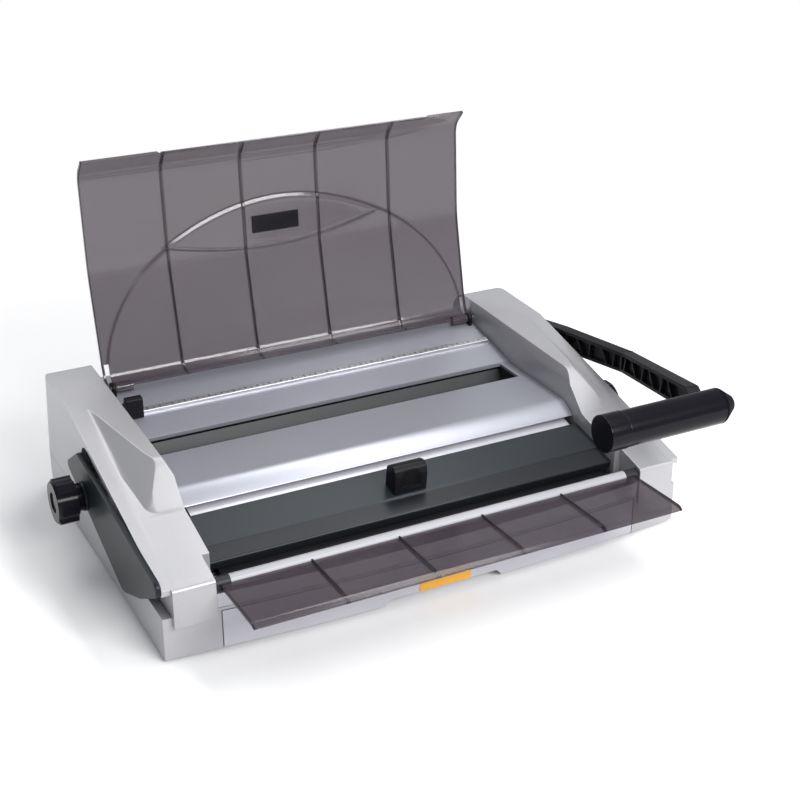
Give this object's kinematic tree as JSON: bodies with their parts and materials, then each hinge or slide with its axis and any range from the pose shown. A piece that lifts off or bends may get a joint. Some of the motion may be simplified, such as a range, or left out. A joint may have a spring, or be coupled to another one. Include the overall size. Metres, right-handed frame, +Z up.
{
  "type": "wire comb binding machine",
  "caption": "Hand-operated punch and wire-closing binding machine with end housings, open smoked lid and flap, side handle, closing lever, size knobs and chip drawer.",
  "frame": {"origin": "on the table plane under the feet, at the middle of the base's width and of its depth from the front corners to the foot of the back wall", "axes": "+X to the machine's right as its user sees it, +Y towards its back, +Z up"},
  "size_m": [0.4574, 0.3439, 0.266],
  "materials": {
    "silver_plastic": "silver lacquer over moulded plastic, half gloss",
    "silver_deck": "silver anodised sheet, satin",
    "smoked_plastic": "clear smoked purple-grey plastic",
    "slate_paint": "slate grey paint, satin",
    "lever_paint": "dark green-grey paint, satin",
    "black_plastic": "black moulded plastic",
    "grip_rubber": "black grip sleeve, satin",
    "rubber": "black rubber",
    "steel": "bright steel",
    "brass": "sintered bronze and brass",
    "amber_label": "plain amber film"
  },
  "bodies": {
    "root": {"base_pan": "silver_plastic", "rubber_feet": "rubber", "left_housing": "silver_plastic", "right_housing": "silver_plastic", "top_deck": "silver_deck", "rear_cover": "silver_plastic", "front_sill": "silver_plastic", "paper_throat": "slate_paint", "ruler_strip": "steel", "left_frame_plate": "steel", "right_frame_plate": "steel", "tie_rods": "steel", "die_plate": "steel", "guide_plate": "steel", "paper_stop": "steel", "closer_bed": "black_plastic", "shaft_bushes": "brass", "drawer_rails": "steel", "frame_screws": "steel", "lid_hinge_ears": "black_plastic"},
    "lid": {"lid_panel": "smoked_plastic", "lid_plaque": "black_plastic", "lid_pins": "steel"},
    "flap": {"flap_panel": "smoked_plastic", "flap_rod": "black_plastic"},
    "handle": {"handle_arm": "black_plastic", "grip_spindle": "steel", "handle_grip": "grip_rubber", "grip_collar": "black_plastic", "grip_end_cap": "black_plastic", "punch_shaft": "steel", "punch_pinions": "steel", "shaft_clips": "steel", "hub_screw": "black_plastic"},
    "punch_bar": {"punch_holder": "steel", "punch_pins": "steel", "punch_racks": "steel"},
    "closing_lever": {"closing_lever": "lever_paint", "closer_tube": "steel", "closer_pinions": "steel", "stop_lug": "steel"},
    "closing_bar": {"closing_bar": "slate_paint", "closer_racks": "steel", "bar_tab": "black_plastic"},
    "left_size_knob": {"left_knob": "black_plastic", "size_shaft": "steel", "size_gear": "brass"},
    "right_size_knob": {"right_knob": "black_plastic", "stub_shaft": "steel", "stub_gear": "brass", "size_cam": "steel"},
    "chip_drawer": {"chip_drawer": "silver_plastic", "drawer_label": "amber_label"},
    "paper_guide": {"paper_guide": "black_plastic"}
  },
  "joints": [
    {"name": "lid_hinge", "type": "hinge", "parent": "root", "child": "lid", "pos_m": [0, 0.096, 0.0918], "axis": [1, 0, 0], "range_deg": [0, 98]},
    {"name": "flap_hinge", "type": "hinge", "parent": "root", "child": "flap", "pos_m": [0, -0.1395, 0.05], "axis": [-1, 0, 0], "range_deg": [0, 138]},
    {"name": "handle_hinge", "type": "hinge", "parent": "root", "child": "handle", "pos_m": [0, 0.108, 0.068], "axis": [-1, 0, 0], "range_deg": [0, 65]},
    {"name": "punch_slide", "type": "slide", "parent": "root", "child": "punch_bar", "axis": [0, 1, 0], "range_m": [0, 0.01135]},
    {"name": "closing_lever_hinge", "type": "hinge", "parent": "root", "child": "closing_lever", "pos_m": [0, 0.012, 0.052], "axis": [-1, 0, 0], "range_deg": [0, 70]},
    {"name": "closing_bar_slide", "type": "slide", "parent": "root", "child": "closing_bar", "axis": [0, 0.9799, 0.1994], "range_m": [0, 0.01222]},
    {"name": "right_knob_turn", "type": "hinge", "parent": "root", "child": "right_size_knob", "pos_m": [0, -0.01975, 0.048], "axis": [1, 0, 0], "range_deg": [0, 270]},
    {"name": "left_knob_turn", "type": "hinge", "parent": "root", "child": "left_size_knob", "pos_m": [0, 0.012, 0.052], "axis": [1, 0, 0], "range_deg": [-270, 0]},
    {"name": "drawer_slide", "type": "slide", "parent": "root", "child": "chip_drawer", "axis": [0, -1, 0], "range_m": [0, 0.09]},
    {"name": "guide_slide", "type": "slide", "parent": "root", "child": "paper_guide", "axis": [1, 0, 0], "range_m": [0, 0.03]}
  ],
  "couplings": [
    {"joint": "punch_slide", "follows": "handle_hinge", "m_per_rad": 0.01},
    {"joint": "closing_bar_slide", "follows": "closing_lever_hinge", "m_per_rad": 0.01},
    {"joint": "left_knob_turn", "follows": "right_knob_turn", "ratio": -1}
  ]
}
